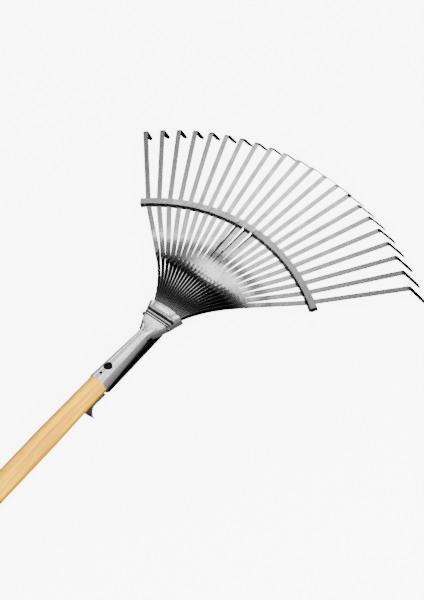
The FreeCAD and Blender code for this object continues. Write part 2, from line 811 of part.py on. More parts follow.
# Cross pin with a formed head outside each side wall.
SHANK_BITE = 0.5
widest_at = dim("pin_y") + dim("rivet_head_dia") / 2
head_seat = jaw_half_width(widest_at) + dim("jaw_gap") + dim("jaw_sheet") + RIVET_FIT
shank = cylinder(
    "pin_shank",
    "dims.pin_dia / 2",
    "%.3f" % (2 * (head_seat + SHANK_BITE)),
    Vector(-head_seat - SHANK_BITE, dim("pin_y"), 0),
    ACROSS,
)
pin_bits = [shank]
for sign in (-1, 1):
    pin_bits.append(
        cone(
            "pin_head_%s" % ("left" if sign < 0 else "right"),
            "dims.rivet_head_dia / 2",
            "dims.rivet_head_dia / 2 - 1",
            "dims.rivet_head_height",
            Vector(sign * head_seat, dim("pin_y"), 0),
            ACROSS * sign,
        )
    )
finish(fuse("tine_pin", pin_bits), "tine_pin")

# ---------------------------------------------------------------------------
# Socket and handle
# ---------------------------------------------------------------------------
rim = Vector(0, -dim("socket_rear"), 0)
tube_length = "dims.socket_rear - dims.socket_front"
tube_out = cone(
    "socket_outside",
    "dims.socket_rear_radius",
    "dims.socket_front_radius",
    tube_length,
    rim,
    CENTRE_LINE,
)
tube_in = cone(
    "socket_inside",
    "dims.socket_rear_radius - dims.socket_sheet",
    "dims.socket_front_radius - dims.socket_sheet",
    tube_length,
    rim,
    CENTRE_LINE,
)
# The seam runs straight along the top; the lap line beside it marks the edge of the sheet
# that goes on into the upper jaw.  Both are lines pressed into the tube.
LAP_LINE = ((7.1, -76.0), (5.4, -42.0), (4.9, -20.0))
SHORT_LINE = ((5.0, -84.0), (5.6, -103.0))
SEAM_LINE = ((0.0, -103.0), (0.0, -20.0))


def pressed_lines():
    """Narrow upright bands over the lines, kept clear of the sheet's inner part."""
    half = dim("seam_width") / 2
    depth = dim("seam_depth")
    bands = []
    for line in (LAP_LINE, SHORT_LINE, SEAM_LINE):
        for (x_from, y_from), (x_to, y_to) in zip(line, line[1:]):
            start = Vector(x_from, y_from, 0)
            run = Vector(x_to, y_to, 0) - start
            across = Vector(-run.y, run.x, 0).normalize() * half
            ring = [start + across, start - across, start + run - across, start + run + across]
            bands.append(Part.Face(Part.makePolygon(ring + ring[:1])).extrude(UP * 20))
    core = Part.makeCone(
        dim("socket_rear_radius") - depth,
        dim("socket_front_radius") - depth,
        dim("socket_rear") - dim("socket_front"),
        rim,
        CENTRE_LINE,
    )
    lead = Part.makeCylinder(dim("socket_rear_radius") - depth, 3, rim, -CENTRE_LINE)
    return bands[0].fuse(bands[1:]).cut(core.fuse(lead))


seam = doc.addObject("Part::Feature", "socket_lines")
seam.Shape = pressed_lines()
big_hole = cylinder(
    "socket_screw_hole",
    "dims.screw_hole_dia / 2",
    "dims.socket_rear_radius + 1",
    Vector(0, dim("screw_hole_y"), 0),
    UP,
)
small_hole = cylinder(
    "socket_nail_hole",
    "dims.nail_hole_dia / 2",
    "dims.socket_rear_radius + 1",
    Vector(0, dim("nail_hole_y"), 0),
    UP,
)
socket_tools = compound("socket_openings", [tube_in, seam, big_hole, small_hole])
finish(cut("socket_tube", tube_out, socket_tools), "socket_tube")

# The handle narrows to the rim, goes on narrowing inside the socket, and has a rounded
# free end with a hanging hole.
rim_point = Vector(0, -dim("socket_rear") - 1.0, 0)
nose = cone(
    "handle_nose",
    "dims.handle_nose_dia / 2",
    "dims.handle_rim_dia / 2",
    "dims.socket_rear + 1 - dims.handle_front",
    Vector(0, -dim("handle_front"), 0),
    -CENTRE_LINE,
)
taper = cone(
    "handle_taper_part",
    "dims.handle_rim_dia / 2",
    "dims.handle_dia / 2",
    "dims.handle_taper",
    rim_point,
    -CENTRE_LINE,
)
grip = cylinder(
    "handle_grip",
    "dims.handle_dia / 2",
    "dims.handle_length + dims.handle_front - dims.socket_rear - 1 - dims.handle_taper",
    rim_point - CENTRE_LINE * dim("handle_taper"),
    -CENTRE_LINE,
)
handle_blank = fuse("handle_blank", [nose, taper, grip])
doc.recompute()

rounded = doc.addObject("Part::Fillet", "handle_rounded")
rounded.Base = handle_blank
end_edges = []
for index, edge in enumerate(handle_blank.Shape.Edges, start=1):
    if edge.BoundBox.YMax < handle_end + 0.01:
        end_edges.append((index, dim("handle_round"), dim("handle_round")))
rounded.Edges = end_edges
hang_y = handle_end + dim("hang_hole_inset")
hang_hole = cylinder(
    "hanging_hole",
    "dims.hang_hole_dia / 2",
    "dims.handle_dia + 10",
    Vector(0, hang_y, -dim("handle_dia") / 2 - 5),
    UP,
)
SCREW_DEPTH = 20.0
SCREW_RADIUS = 2.0
NAIL_RADIUS = 1.25
WOOD_FIT = 0.05
screw_seat = 7.9
screw_point = screw_seat + 3.0 - SCREW_DEPTH
screw_bore = cylinder(
    "screw_bore",
    "dims.screw_hole_dia / 2 + 0.1",
    "10",
    Vector(0, dim("screw_hole_y"), screw_seat),
    UP,
)
screw_pilot = cylinder(
    "screw_pilot",
    "%.2f" % (SCREW_RADIUS + WOOD_FIT),
    "%.1f" % SCREW_DEPTH,
    Vector(0, dim("screw_hole_y"), screw_point - 1),
    UP,
)
nail_seat = 10.3
nail_point = nail_seat + 2.0 - SCREW_DEPTH
nail_bore = cylinder(
    "nail_bore",
    "%.2f" % (NAIL_RADIUS + WOOD_FIT),
    "%.1f" % (SCREW_DEPTH + 4),
    Vector(0, dim("nail_hole_y"), nail_point - 0.5),
    UP,
)
nail_recess = cylinder(
    "nail_recess",
    "dims.nail_hole_dia / 2 + 0.2",
    "6",
    Vector(0, dim("nail_hole_y"), nail_seat),
    UP,
)
handle_tools = compound(
    "handle_openings", [hang_hole, screw_bore, screw_pilot, nail_bore, nail_recess]
)
finish(cut("handle", rounded, handle_tools), "handle")

screw_head = cylinder(
    "screw_head",
    "dims.screw_hole_dia / 2 + 0.02",
    "2.4",
    Vector(0, dim("screw_hole_y"), screw_seat + WOOD_FIT),
    UP,
)
screw_shank = cylinder(
    "screw_shank",
    "%.1f" % SCREW_RADIUS,
    "%.1f" % (SCREW_DEPTH - 2),
    Vector(0, dim("screw_hole_y"), screw_point),
    UP,
)
finish(fuse("handle_screw", [screw_head, screw_shank]), "handle_screw")
nail_shank = cylinder(
    "nail_shank",
    "%.2f" % NAIL_RADIUS,
    "%.1f" % (SCREW_DEPTH - 2),
    Vector(0, dim("nail_hole_y"), nail_point),
    UP,
)
nail_head = cylinder(
    "nail_head",
    "dims.nail_hole_dia / 2 + 0.1",
    "1",
    Vector(0, dim("nail_hole_y"), nail_seat),
    UP,
)
finish(fuse("handle_nail", [nail_shank, nail_head]), "handle_nail")

# ---------------------------------------------------------------------------
# Guide channel under the socket, and what slides in it
# ---------------------------------------------------------------------------
BRIDGE_DROP = 1.7
LINER_SHORT = 18
guide_length = dim("guide_rear") + dim("guide_front")


def guide_shape():
    """Two cheeks with inward lips along the underside."""
    outer = dim("guide_half_width")
    inner = outer - dim("guide_sheet")
    lip = dim("guide_slot_half")
    low = dim("guide_bottom")
    shelf = low + dim("guide_sheet")
    rear = -dim("guide_rear")
    front_end = dim("guide_front")
    cheeks = []
    for sign in (-1, 1):
        ends = []
        for along, top in ((rear, dim("guide_rear_top")), (front_end, dim("guide_front_top"))):
            ring = [
                Vector(sign * outer, along, top),
                Vector(sign * outer, along, low),
                Vector(sign * lip, along, low),
                Vector(sign * lip, along, shelf),
                Vector(sign * inner, along, shelf),
                Vector(sign * inner, along, top),
            ]
            ends.append(Part.makePolygon(ring + ring[:1]))
        cheeks.append(Part.makeLoft(ends, True, True))
    # The bridge joins the cheeks under the lower jaw and takes the rivet.
    bridge_low = dim("guide_front_top") - BRIDGE_DROP
    bridge = Part.makeBox(2 * inner, 16, dim("guide_sheet"), Vector(-inner, -14, bridge_low))
    body = cheeks[0].fuse([cheeks[1], bridge])
    bore = Part.makeCylinder(JOINT_RIVET_RADIUS + RIVET_FIT, 20, Vector(0, JOINT_RIVET_Y, -12), UP)
    return body.cut(bore)


guide = doc.addObject("Part::Feature", "guide_channel")
guide.Shape = guide_shape()
finish(guide, "guide_channel")

JOINT_HEAD_RADIUS = 3.4
JOINT_HEAD_HEIGHT = 1.4
rivet_low = dim("guide_front_top") - BRIDGE_DROP
rivet_high = dim("jaw_floor_top")
rivet_shank = cylinder(
    "joint_rivet_shank",
    "%.2f" % JOINT_RIVET_RADIUS,
    "%.3f" % (rivet_high - rivet_low),
    Vector(0, JOINT_RIVET_Y, rivet_low),
    UP,
)
rivet_cap = cylinder(
    "joint_rivet_cap",
    "%.1f" % JOINT_HEAD_RADIUS,
    "%.1f" % JOINT_HEAD_HEIGHT,
    Vector(0, JOINT_RIVET_Y, rivet_high),
    UP,
)
rivet_foot = cylinder(
    "joint_rivet_foot",
    "%.1f" % JOINT_HEAD_RADIUS,
    "%.1f" % JOINT_HEAD_HEIGHT,
    Vector(0, JOINT_RIVET_Y, rivet_low),
    -UP,
)
finish(fuse("guide_rivet", [rivet_shank, rivet_cap, rivet_foot]), "guide_rivet")

# Plate that closes the guide over the slide bar.
liner = box(
    "guide_liner",
    "2 * (dims.guide_half_width - dims.guide_sheet)",
    "%.1f" % (guide_length - LINER_SHORT),
    "dims.guide_sheet",
    Placement(
        Vector(
            -(dim("guide_half_width") - dim("guide_sheet")),
            -dim("guide_rear"),
            dim("liner_top") - dim("guide_sheet"),
        ),
        Rotation(),
    ),
)
finish(liner, "guide_liner", liner.Placement)

# Slide bar: a flat bar with two ears through the guide's slot for the lever's pin.
slide_body = doc.addObject("PartDesign::Body", "slide_blank")
slide_low = dim("slide_top") - dim("slide_thick")
wide = dim("slide_half_width")
head = dim("slide_head_half")
head_rear = dim("slide_head_rear")
slide_outline = polygon_sketch(
    slide_body,
    "slide_outline",
    "XY_Plane",
    [
        (at("-dims.slide_half_width", -wide), at("-dims.slide_rear", -dim("slide_rear"))),
        (at("dims.slide_half_width", wide), at("-dims.slide_rear", -dim("slide_rear"))),
        (at("dims.slide_half_width", wide), at("dims.slide_head_rear", head_rear)),
        (at("dims.slide_head_half", head), at("dims.slide_head_rear", head_rear)),
        (at("dims.slide_head_half", head), at("dims.slide_front", dim("slide_front"))),
        (at("-dims.slide_head_half", -head), at("dims.slide_front", dim("slide_front"))),
        (at("-dims.slide_head_half", -head), at("dims.slide_head_rear", head_rear)),
        (at("-dims.slide_half_width", -wide), at("dims.slide_head_rear", head_rear)),
    ],
)
slide_pad = slide_body.newObject("PartDesign::Pad", "slide_pad")
slide_pad.Profile = slide_outline
bind(slide_pad, Length="dims.slide_thick")
slide_body.Tip = slide_pad
slide_body.Placement = Placement(Vector(0, 0, slide_low), Rotation())

pin_at = Vector(0, dim("lever_pin_y"), dim("lever_pin_z"))
EAR_RADIUS = 3.0
ear_outer = dim("guide_slot_half") - 0.4
ears = []
for side, sign in (("left", -1), ("right", 1)):
    inner_face = ear_outer - dim("ear_sheet")
    left_face = inner_face if sign > 0 else -ear_outer
    ears.append(
        box(
            "ear_" + side,
            "dims.ear_sheet",
            "%.1f" % (2 * EAR_RADIUS),
            "%.3f" % (slide_low - dim("lever_pin_z")),
            Placement(Vector(left_face, pin_at.y - EAR_RADIUS, pin_at.z), Rotation()),
        )
    )
    ears.append(
        cylinder(
            "ear_round_" + side,
            "%.1f" % EAR_RADIUS,
            "dims.ear_sheet",
            Vector(left_face, pin_at.y, pin_at.z),
            ACROSS,
        )
    )
clip_y = dim("slide_front") - dim("clip_length") / 2 - 2
CLIP_RIVET_X = 8.9
CLIP_RIVET_RADIUS = 0.8
clip_bore_radius = CLIP_RIVET_RADIUS + RIVET_FIT
bar_holes = []
for side, sign in (("left", -1), ("right", 1)):
    bar_holes.append(
        cylinder(
            "bar_hole_" + side,
            "%.2f" % clip_bore_radius,
            "dims.slide_thick + 2",
            Vector(sign * CLIP_RIVET_X, clip_y, slide_low - 1),
            UP,
        )
    )
pin_way = cylinder(
    "ear_bore",
    "dims.lever_pin_dia / 2 + dims.running_gap / 2",
    "30",
    pin_at - ACROSS * 15,
    ACROSS,
)
slide_whole = fuse("slide_whole", [slide_body] + ears)
slide_tools = compound("slide_openings", bar_holes + [pin_way])
finish(cut("slide_bar", slide_whole, slide_tools), "slide_bar")

# Clip: a plate pressed over the three struts, riveted to the bar on both sides.
clip_inside = strut_rest + strut_radius + 0.03
clip_foot_half = dim("slide_head_half")
clip_wall = dim("strut_pitch") + strut_radius + 1.1
groove_radius = strut_radius + STRUT_FIT


def clip_shape():
    """A plate with three grooves over the struts and a foot on each side."""
    low = dim("slide_top")
    thick = dim("clip_sheet")
    ring = [
        Vector(-clip_foot_half, 0, low),
        Vector(-clip_foot_half, 0, low + thick),
        Vector(-clip_wall, 0, low + thick),
        Vector(-clip_wall + 0.3, 0, clip_inside + thick),
        Vector(clip_wall - 0.3, 0, clip_inside + thick),
        Vector(clip_wall, 0, low + thick),
        Vector(clip_foot_half, 0, low + thick),
        Vector(clip_foot_half, 0, low),
        Vector(-clip_foot_half, 0, low),
    ]
    block = Part.Face(Part.makePolygon(ring)).extrude(CENTRE_LINE * dim("clip_length"))
    block.translate(Vector(0, clip_y - dim("clip_length") / 2, 0))
    for sign in (-1, 0, 1):
        start = Vector(sign * dim("strut_pitch"), clip_y - 20, strut_rest)
        block = block.cut(Part.makeCylinder(groove_radius, 40, start, CENTRE_LINE))
        open_side = Vector(start.x - groove_radius, start.y, low - 1)
        foot_room = strut_rest - low + 1
        block = block.cut(Part.makeBox(2 * groove_radius, 40, foot_room, open_side))
    for sign in (-1, 1):
        start = Vector(sign * CLIP_RIVET_X, clip_y, low - 5)
        block = block.cut(Part.makeCylinder(clip_bore_radius, 20, start, UP))
    return block


clip = doc.addObject("Part::Feature", "strut_clip")
clip.Shape = clip_shape()
finish(clip, "strut_clip")

rivets = []
for side, sign in (("left", -1), ("right", 1)):
    foot = Vector(sign * CLIP_RIVET_X, clip_y, slide_low)
    grip_height = dim("slide_thick") + dim("clip_sheet")
    stem_radius = "%.1f" % CLIP_RIVET_RADIUS
    stem = cylinder("clip_rivet_stem_" + side, stem_radius, "%.2f" % grip_height, foot, UP)
    top_head = cylinder(
        "clip_rivet_head_" + side, "1.5", "0.8", foot + UP * grip_height, UP
    )
    rivets.append(fuse("clip_rivet_" + side, [stem, top_head]))
finish(compound("clip_rivets", rivets), "clip_rivets")

# ---------------------------------------------------------------------------
# Lock lever under the slide bar
# ---------------------------------------------------------------------------
barrel_half = ear_outer - dim("ear_sheet") - 0.3
BARREL_RADIUS = 2.6


def lever_shape():
    """A barrel round the pin, a flat arm, and a flared thumb tab that is bent down."""
    thick = dim("lever_sheet")
    arm = dim("lever_half_width")
    tab = dim("lever_tab_half")
    end = pin_at.y - dim("lever_length")
    barrel = Part.makeCylinder(
        BARREL_RADIUS, 2 * barrel_half, pin_at - ACROSS * barrel_half, ACROSS
    )
    neck_end = pin_at.y - 5.5
    neck = Part.makeBox(
        2 * barrel_half,
        pin_at.y - neck_end,
        thick,
        Vector(-barrel_half, neck_end, pin_at.z - thick / 2),
    )
    # Plan outline of the arm and the tab, with hollow flanks.
    waist = pin_at.y - 22
    right = [
        Part.makeLine(Vector(arm, neck_end, 0), Vector(arm - 0.8, waist, 0)),
        Part.Arc(
            Vector(arm - 0.8, waist, 0),
            Vector(arm + 1.6, (waist + end) / 2 - 2.5, 0),
            Vector(tab, end, 0),
        ).toShape(),
    ]
    left = [edge.mirror(Vector(0, 0, 0), ACROSS) for edge in right]
    back_edge = Part.Arc(
        Vector(tab, end, 0), Vector(0, end - 1.5, 0), Vector(-tab, end, 0)
    ).toShape()
    front_edge = Part.makeLine(Vector(-arm, neck_end, 0), Vector(arm, neck_end, 0))
    loop = Part.Wire(Part.__sortEdges__(right + [back_edge] + left + [front_edge]))
    plate = Part.Face(loop).extrude(UP * 60)
    plate.translate(UP * (pin_at.z - 50))
    # Side view: level to the waist, then curving down to the end of the tab.
    top_line = [
        Vector(0, neck_end + 0.01, pin_at.z + thick / 2),
        Vector(0, waist, pin_at.z + thick / 2),
    ]
    drop = Vector(0, end - 4, pin_at.z - 6.5)
    bow = Part.Arc(
        top_line[1], Vector(0, (waist + drop.y) / 2, pin_at.z - 0.9), drop
    ).toShape()
    ribbon = Part.Wire([Part.makeLine(top_line[0], top_line[1]), bow])
    band = ribbon.extrude(ACROSS * 60)
    band.translate(ACROSS * -30)
    slab = band.extrude(UP * -thick)
    arm_plate = slab.common(plate)
    body = arm_plate.fuse([barrel, neck]).removeSplitter()
    bore = Part.makeCylinder(
        dim("lever_pin_dia") / 2 + dim("running_gap"), 40, pin_at - ACROSS * 20, ACROSS
    )
    return body.cut(bore)


lever = doc.addObject("Part::Feature", "lock_lever")
lever.Shape = lever_shape()
finish(lever, "lock_lever")

lever_pin = cylinder(
    "lever_pin",
    "dims.lever_pin_dia / 2",
    "2 * (dims.guide_slot_half - 0.4)",
    pin_at - ACROSS * ear_outer,
    ACROSS,
)
finish(lever_pin, "lever_pin", lever_pin.Placement)

# ---------------------------------------------------------------------------
# Check everything, then write one file for each sub-part
# ---------------------------------------------------------------------------
doc.recompute()
for thing in doc.Objects:
    if "Invalid" in thing.State or "Error" in thing.State:
        raise RuntimeError("%s did not recompute: %s" % (thing.Label, thing.State))
for thing in sub_parts:
    shape = thing.Shape
    if shape.isNull() or not shape.isValid() or not shape.Solids:
        raise RuntimeError("%s has no valid solid" % thing.Label)

os.makedirs("parts", exist_ok=True)
for thing in sub_parts:
    thing.Shape.exportStep("parts/%s.step" % thing.Label)
    bounds = thing.Shape.BoundBox
    print(
        "%-18s %d solid(s) %9.1f mm3  X %7.1f %7.1f  Y %8.1f %7.1f  Z %6.1f %6.1f"
        % (
            thing.Label,
            len(thing.Shape.Solids),
            thing.Shape.Volume,
            bounds.XMin,
            bounds.XMax,
            bounds.YMin,
            bounds.YMax,
            bounds.ZMin,
            bounds.ZMax,
        )
    )
print("rest tilt %.3f, placement %s" % (math.degrees(rest_tilt), lay_down.Base))
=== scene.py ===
import json
import math

import bpy
from mathutils import Matrix, Vector

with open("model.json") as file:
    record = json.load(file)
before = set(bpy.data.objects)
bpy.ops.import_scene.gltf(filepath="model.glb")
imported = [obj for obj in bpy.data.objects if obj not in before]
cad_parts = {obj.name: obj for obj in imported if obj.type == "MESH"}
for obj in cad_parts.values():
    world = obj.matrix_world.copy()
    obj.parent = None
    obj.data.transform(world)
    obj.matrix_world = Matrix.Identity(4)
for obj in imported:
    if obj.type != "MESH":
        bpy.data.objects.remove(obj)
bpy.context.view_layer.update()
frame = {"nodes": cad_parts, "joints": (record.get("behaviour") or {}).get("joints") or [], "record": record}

# The rake's looks: zinc-plated steel, a lacquered wooden handle, a pale studio and the
# camera.  Lengths are metres.  The CAD nodes are shown as they are, with the materials
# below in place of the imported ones.

NODES = frame["nodes"]
JOINTS = {joint["name"]: joint for joint in frame["joints"]}

# ---------------------------------------------------------------------------
# The rake's own directions, from its joints
# ---------------------------------------------------------------------------
ALONG = Vector(JOINTS["spread_slide"]["axis"]).normalized()
ACROSS = Vector((1, 0, 0))
ABOVE = ACROSS.cross(ALONG)

# Places along the rake, from the fan's centre towards the tips.
MIDDLE_TINES = ("tine_11_hinge", "tine_12_hinge")
PIN_AHEAD = 0.006
SOCKET_REACH = 0.1005
# The crossbar is an arc about a point behind the fan's centre.
BAR_ARC_CENTRE = -0.0825
BAR_ARC_RADIUS = 0.2608

pin_middle = sum((Vector(JOINTS[name]["pos_m"]) for name in MIDDLE_TINES), Vector()) / 2
FAN_CENTRE = pin_middle - ALONG * PIN_AHEAD


def rake_point(across, along, above):
    """A point given along the rake's own directions from the middle of its fan."""
    return FAN_CENTRE + ACROSS * across + ALONG * along + ABOVE * above


def rake_way(across, along, above):
    """A direction given along the rake's own directions."""
    return ACROSS * across + ALONG * along + ABOVE * above


def facing(side, top, back, place):
    """The matrix of a light or camera, from its own directions and its place."""
    rows = [(side[i], top[i], back[i], place[i]) for i in range(3)]
    return Matrix(rows + [(0.0, 0.0, 0.0, 1.0)])


# ---------------------------------------------------------------------------
# Node helpers
# ---------------------------------------------------------------------------
class Graph:
    """A material's node tree, with short ways to add to it."""

    def __init__(self, name):
        self.material = bpy.data.materials.new(name)
        self.material.use_nodes = True
        self.nodes = self.material.node_tree.nodes
        self.links = self.material.node_tree.links
        self.shader = self.nodes["Principled BSDF"]

    def add(self, kind, **settings):
        node = self.nodes.new(kind)
        for name, value in settings.items():
            setattr(node, name, value)
        return node

    def plug(self, source, target):
        self.links.new(source, target)

    def math(self, operation, first, second=None):
        node = self.add("ShaderNodeMath", operation=operation)
        for index, value in enumerate((first, second)):
            if value is None:
                continue
            if isinstance(value, (int, float)):
                node.inputs[index].default_value = value
            else:
                self.plug(value, node.inputs[index])
        return node.outputs[0]

    def length(self, first, second):
        """The distance that two offsets at right angles make."""
        total = self.math("MULTIPLY", first, first)
        total = self.math("ADD", total, self.math("MULTIPLY", second, second))
        return self.math("SQRT", total)

    def weighted(self, *pairs):
        """The sum of some values, each times its share."""
        total = None
        for value, share in pairs:
            part = self.math("MULTIPLY", value, share)
            total = part if total is None else self.math("ADD", total, part)
        return total

    def rake_coordinates(self):
        """Where a point is along the rake's own directions from the fan's centre."""
        place = self.add("ShaderNodeTexCoord").outputs["Object"]
        shift = self.add("ShaderNodeVectorMath", operation="SUBTRACT")
        self.plug(place, shift.inputs[0])
        shift.inputs[1].default_value = FAN_CENTRE
        parts = []
        for way in (ACROSS, ALONG, ABOVE):
            dot = self.add("ShaderNodeVectorMath", operation="DOT_PRODUCT")
            self.plug(shift.outputs[0], dot.inputs[0])
            dot.inputs[1].default_value = way
            parts.append(dot.outputs["Value"])
        return parts

    def combine(self, x, y, z):
        node = self.add("ShaderNodeCombineXYZ")
        for index, value in enumerate((x, y, z)):
            if isinstance(value, (int, float)):
                node.inputs[index].default_value = value
            else:
                self.plug(value, node.inputs[index])
        return node.outputs[0]

    def noise(self, vector, scale, detail=4.0, roughness=0.5):
        node = self.add("ShaderNodeTexNoise")
        self.plug(vector, node.inputs["Vector"])
        node.inputs["Scale"].default_value = scale
        node.inputs["Detail"].default_value = detail
        node.inputs["Roughness"].default_value = roughness
        return node.outputs["Fac"]

    def ramp(self, value, stops):
        """A colour ramp; stops are (position, grey or colour)."""
        node = self.add("ShaderNodeValToRGB")
        elements = node.color_ramp.elements
        while len(elements) < len(stops):
            elements.new(0.5)
        for element, (position, colour) in zip(elements, stops):
            element.position = position
            if isinstance(colour, (int, float)):
                colour = (colour, colour, colour)
            element.color = (*colour, 1.0)
        self.plug(value, node.inputs["Fac"])
        return node.outputs["Color"]

    def mix(self, share, first, second, blend="MIX"):
        node = self.add("ShaderNodeMix", data_type="RGBA", blend_type=blend)
        for socket, value in (("Factor", share), ("A", first), ("B", second)):
            target = [s for s in node.inputs if s.name == socket and s.enabled][0]
            if isinstance(value, (int, float)):
                target.default_value = value
            elif isinstance(value, tuple):
                target.default_value = (*value, 1.0)
            else:
                self.plug(value, target)
        return [s for s in node.outputs if s.enabled][0]

    def darken(self, colour, shade):
        return self.mix(1.0, colour, shade, blend="MULTIPLY")

    def bump(self, height, strength, distance):
        node = self.add("ShaderNodeBump")
        node.inputs["Strength"].default_value = strength
        node.inputs["Distance"].default_value = distance
        self.plug(height, node.inputs["Height"])
        self.plug(node.outputs["Normal"], self.shader.inputs["Normal"])

    def set(self, **values):
        for name, value in values.items():
            self.shader.inputs[name.replace("_", " ")].default_value = value


# ---------------------------------------------------------------------------
# Materials
# ---------------------------------------------------------------------------
# Drawing lines are this much finer across than along.
LINE_STRETCH = 0.02
# A radian about the fan's centre counts as this width in the noise.
TURN_WIDTH = 0.2
# Painted shade on the strips, where they crowd together near the clamp, fades out between these places along
# the rake.
ROOT_SHADE_START = 0.045
ROOT_SHADE_END = 0.105
# The crossbar's painted shadow on the strips: how far behind the crossbar's arc its ramp starts, and the
# ramp's length.
BAR_SHADOW_REACH = 0.010
BAR_SHADOW_SPAN = 0.014


def root_shade(graph, body, along):
    """Painted shade darkens the strips near the clamp, where they crowd together."""
    return graph.darken(body, graph.ramp(along, [(ROOT_SHADE_START, 0.30), (ROOT_SHADE_END, 1.0)]))


def bar_shadow(graph, body, across, along):
    """A painted shadow of the crossbar on the strips, on its head side."""
    ahead = graph.math("SUBTRACT", along, BAR_ARC_CENTRE)
    off_bar = graph.math("SUBTRACT", graph.length(across, ahead), BAR_ARC_RADIUS)
    place = graph.math("DIVIDE", graph.math("ADD", off_bar, BAR_SHADOW_REACH), BAR_SHADOW_SPAN)
    mark = graph.ramp(place, [(0.12, 1.0), (0.19, 0.03), (0.70, 0.03), (0.74, 1.0)])
    return graph.darken(body, mark)


def groove_shade(graph, body, along, middle, half):
    """Painted shade darkens a pressed line across the rake."""
    away = graph.math("ABSOLUTE", graph.math("SUBTRACT", along, middle))
    crease_shade = graph.ramp(graph.math("DIVIDE", away, 2 * half), [(0.25, 0.02), (0.6, 1.0)])
    return graph.darken(body, crease_shade)


def plated_steel(name, tones, gloss, streaks, polar=False, metal=1.0, grooves=()):
    """Zinc-plated steel: mottled plating with fine drawing lines along the piece.  Tones
    are (dark, light) and gloss is the roughness (smooth, rough).  When polar is true, the
    lines run outward from the fan's centre, and the piece gets painted shade near the clamp
    and a painted shadow of the crossbar.  Grooves are (place along the rake, half width) of
    pressed lines darkened with painted shade."""
    graph = Graph(name)
    across, along, above = graph.rake_coordinates()
    if polar:
        turn = graph.math("MULTIPLY", graph.math("ARCTAN2", across, along), TURN_WIDTH)
        out = graph.math("MULTIPLY", graph.length(across, along), LINE_STRETCH)
        line_place = graph.combine(turn, out, above)
    else:
        stretched = graph.math("MULTIPLY", along, LINE_STRETCH)
        line_place = graph.combine(across, stretched, above)
    lines = graph.noise(line_place, streaks, detail=6.0, roughness=0.65)
    place = graph.combine(across, along, above)
    blotches = graph.noise(place, 60.0, detail=5.0)
    specks = graph.noise(place, 700.0, detail=2.0)
    tone = graph.weighted((lines, 0.45), (blotches, 0.4), (specks, 0.15))
    dark, light = tones
    smooth, rough = gloss
    body = graph.ramp(tone, [(0.35, dark), (0.65, light)])
    if polar:
        # Painted shade on the strips near the clamp, where they crowd together.
        body = root_shade(graph, body, along)
        # Painted shadow of the crossbar on the strips.
        body = bar_shadow(graph, body, across, along)
    # Pressed lines darkened with painted shade.
    for middle, half in grooves:
        body = groove_shade(graph, body, along, middle, half)
    graph.plug(body, graph.shader.inputs["Base Color"])
    wear = graph.ramp(tone, [(0.35, rough), (0.65, smooth)])
    graph.plug(wear, graph.shader.inputs["Roughness"])
    graph.bump(tone, 0.05, 0.0004)
    graph.set(Metallic=metal)
    return graph.material


def lacquered_wood(name):
    """Pale straight-grained wood under clear lacquer."""
    graph = Graph(name)
    across, along, above = graph.rake_coordinates()
    drift = graph.noise(graph.combine(across, graph.math("MULTIPLY", along, 0.25), above), 9.0)
    bent = graph.math("ADD", across, graph.math("MULTIPLY", drift, 0.018))
    grain_place = graph.combine(bent, graph.math("MULTIPLY", along, 0.035), above)
    bands = graph.noise(grain_place, 240.0, detail=6.0, roughness=0.6)
    rings = graph.noise(grain_place, 70.0, detail=3.0)
    pores = graph.noise(
        graph.combine(bent, graph.math("MULTIPLY", along, 0.09), above), 900.0, detail=2.0
    )
    soft = graph.ramp(bands, [(0.42, (0.40, 0.11, 0.0)), (0.58, (1.0, 0.50, 0.0))])
    wide = graph.ramp(rings, [(0.42, (0.70, 0.28, 0.0)), (0.58, (1.0, 0.56, 0.0))])
    body = graph.mix(0.55, soft, wide)
    marks = graph.ramp(pores, [(0.30, (0.55, 0.36, 0.18)), (0.42, (1.0, 1.0, 1.0))])
    body = graph.mix(0.6, body, marks, blend="MULTIPLY")
    # Painted shade: the wood inside the socket is coloured black.
    inside = graph.math("GREATER_THAN", along, -SOCKET_REACH)
    body = graph.mix(inside, body, (0.004, 0.003, 0.002))
    graph.plug(body, graph.shader.inputs["Base Color"])
    sheen = graph.ramp(bands, [(0.3, 0.46), (0.7, 0.34)])
    graph.plug(sheen, graph.shader.inputs["Roughness"])
    graph.bump(bands, 0.12, 0.0005)
    graph.set(Specular_IOR_Level=0.2, Coat_Weight=0.05, Coat_Roughness=0.2)
    return graph.material


def black_oxide_and_hole_shade(name):
    """Black-oxide screw steel down in its hole, darkened to near black as painted shade of the hole."""
    graph = Graph(name)
    across, along, above = graph.rake_coordinates()
    grime = graph.noise(graph.combine(across, along, above), 400.0)
    graph.plug(graph.ramp(grime, [(0.3, 0.001), (0.7, 0.004)]), graph.shader.inputs["Base Color"])
    graph.plug(graph.ramp(grime, [(0.3, 0.75), (0.7, 0.5)]), graph.shader.inputs["Roughness"])
    graph.set(Specular_IOR_Level=0.1)
    return graph.material


# Pressed lines on the upper jaw, darkened with painted shade: (place along the rake, half width).
JAW_GROOVES = ((0.0136, 0.0022), (0.0087, 0.0012), (0.0060, 0.0009))

